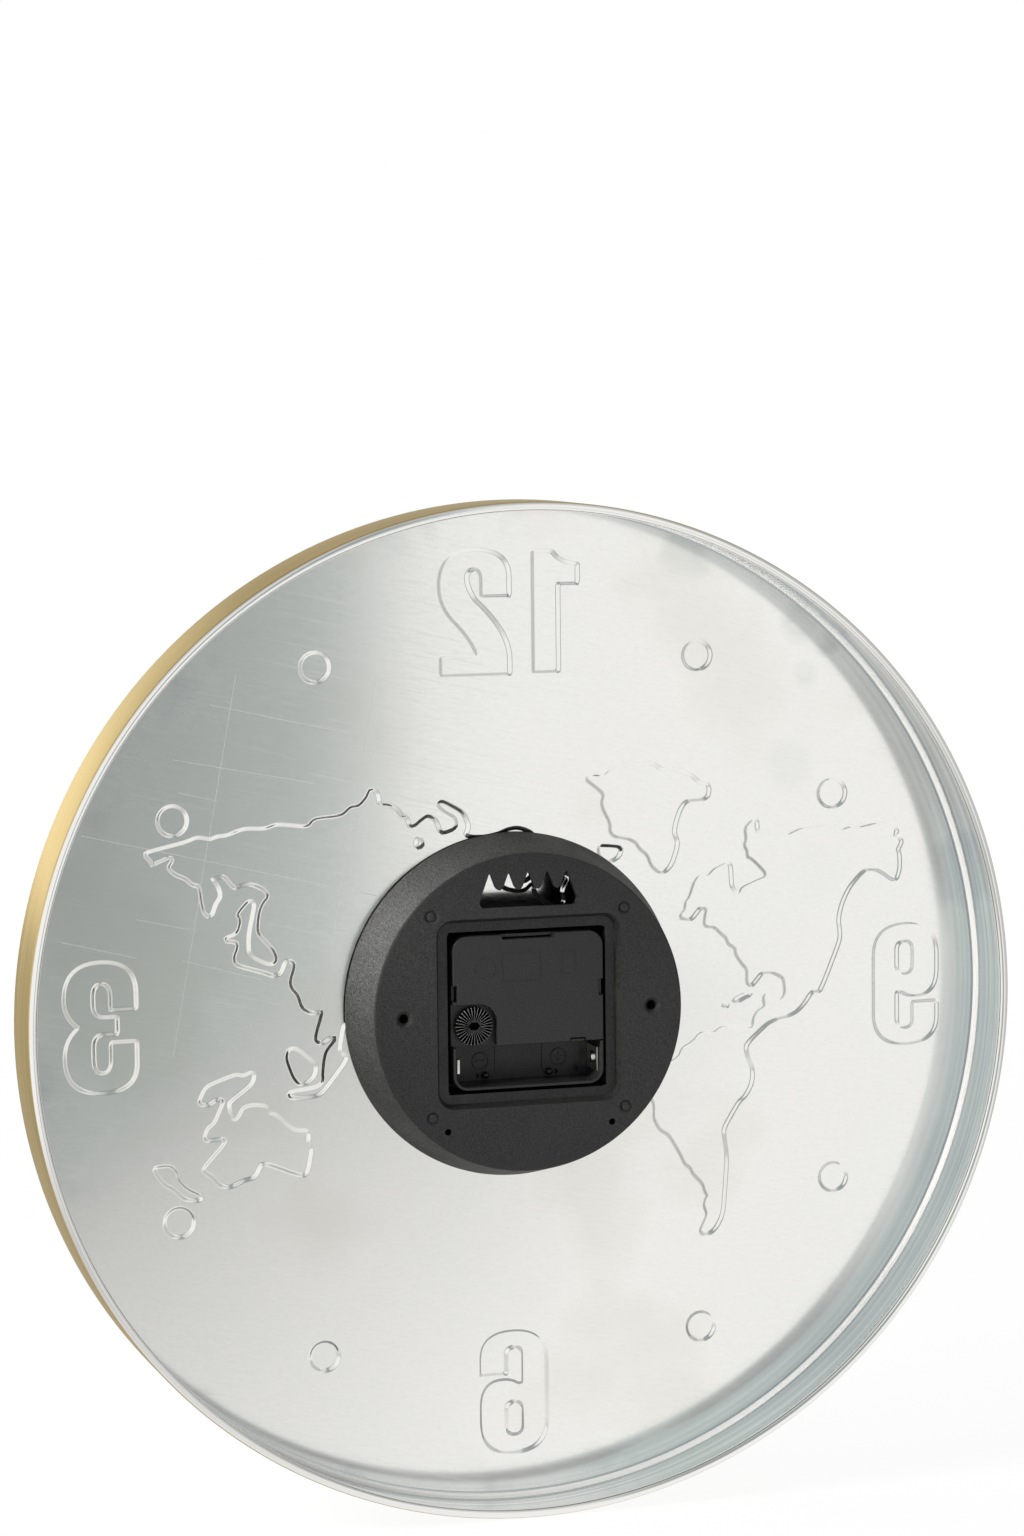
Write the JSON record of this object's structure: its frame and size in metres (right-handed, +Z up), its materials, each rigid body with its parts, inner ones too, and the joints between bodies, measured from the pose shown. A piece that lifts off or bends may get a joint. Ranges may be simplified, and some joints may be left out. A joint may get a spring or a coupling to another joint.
{
  "type": "world map wall clock",
  "caption": "Round wall clock: a pressed metal pan with a world map and numerals raised in its dial, and a battery quartz movement in a black plastic housing behind it.",
  "frame": {"origin": "middle of the clock's box, on the axis of the hands", "axes": "+Z up to twelve o'clock, -Y out of the dial's face, +Y towards the wall, +X to three o'clock seen from the front"},
  "size_m": [0.37, 0.04, 0.37],
  "materials": {
    "pressed_sheet": "gold-tone brushed sheet outside, bare brushed inside",
    "black_plastic": "fine moulded texture",
    "brass": "turned",
    "rubber": "matte",
    "black_lacquer": "satin",
    "white_nylon": "moulded",
    "magnet": "sintered",
    "soft_iron": "stamped",
    "copper_wire": "enamelled wire",
    "board": "paper laminate",
    "chip": "moulded drop",
    "nickel": "nickel plated"
  },
  "bodies": {
    "case": {"dial_tray": "pressed_sheet", "movement_housing": "black_plastic", "movement_case_front": "black_plastic", "movement_rear_cover": "black_plastic", "threaded_bush": "brass", "rubber_washer": "rubber", "brass_washer": "brass", "fixing_nut": "brass", "stator": "soft_iron", "coil_core": "soft_iron", "coil_bobbin": "white_nylon", "coil_winding": "copper_wire", "circuit_board": "board", "clock_chip": "chip", "quartz_crystal": "nickel", "negative_contact": "nickel", "positive_contact": "nickel"},
    "minute": {"minute_hand": "black_lacquer", "minute_arbor": "brass"},
    "hour": {"hour_hand": "black_lacquer", "hour_wheel": "white_nylon"},
    "works": {"works_wheel": "white_nylon"},
    "knob": {"setting_knob": "black_plastic"},
    "second": {"second_hand": "black_lacquer", "seconds_wheel": "white_nylon"},
    "third": {"third_wheel": "white_nylon"},
    "clutch": {"minute_clutch_wheel": "white_nylon"},
    "step": {"step_wheel": "white_nylon"},
    "rotor": {"rotor": "white_nylon", "rotor_magnet": "magnet"}
  },
  "joints": [
    {"name": "minute_turn", "type": "hinge", "parent": "case", "child": "minute", "pos_m": [0, 0, 0], "axis": [0, 1, 0], "continuous": true},
    {"name": "hour_turn", "type": "hinge", "parent": "case", "child": "hour", "pos_m": [0, 0, 0], "axis": [0, 1, 0], "continuous": true},
    {"name": "works_turn", "type": "hinge", "parent": "case", "child": "works", "pos_m": [0.0102, 0, -0.00212], "axis": [0, 1, 0], "continuous": true},
    {"name": "knob_turn", "type": "hinge", "parent": "case", "child": "knob", "pos_m": [0.0204, 0, -0.00423], "axis": [0, 1, 0], "continuous": true},
    {"name": "second_turn", "type": "hinge", "parent": "case", "child": "second", "pos_m": [0, 0, 0], "axis": [0, 1, 0], "continuous": true},
    {"name": "third_turn", "type": "hinge", "parent": "case", "child": "third", "pos_m": [-0.0052, 0, 0.00901], "axis": [0, 1, 0], "continuous": true},
    {"name": "clutch_turn", "type": "hinge", "parent": "case", "child": "clutch", "pos_m": [0, 0, 0], "axis": [0, 1, 0], "continuous": true},
    {"name": "step_turn", "type": "hinge", "parent": "case", "child": "step", "pos_m": [0.00827, 0, 0.00694], "axis": [0, 1, 0], "continuous": true},
    {"name": "rotor_turn", "type": "hinge", "parent": "case", "child": "rotor", "pos_m": [0.01023, 0, 0.01424], "axis": [0, 1, 0], "continuous": true}
  ],
  "couplings": [
    {"joint": "hour_turn", "follows": "minute_turn", "ratio": 0.083333},
    {"joint": "works_turn", "follows": "minute_turn", "ratio": -0.33333},
    {"joint": "knob_turn", "follows": "minute_turn", "ratio": 1},
    {"joint": "third_turn", "follows": "second_turn", "ratio": -0.13333},
    {"joint": "clutch_turn", "follows": "second_turn", "ratio": 0.016667},
    {"joint": "step_turn", "follows": "second_turn", "ratio": -5},
    {"joint": "rotor_turn", "follows": "second_turn", "ratio": 30}
  ]
}
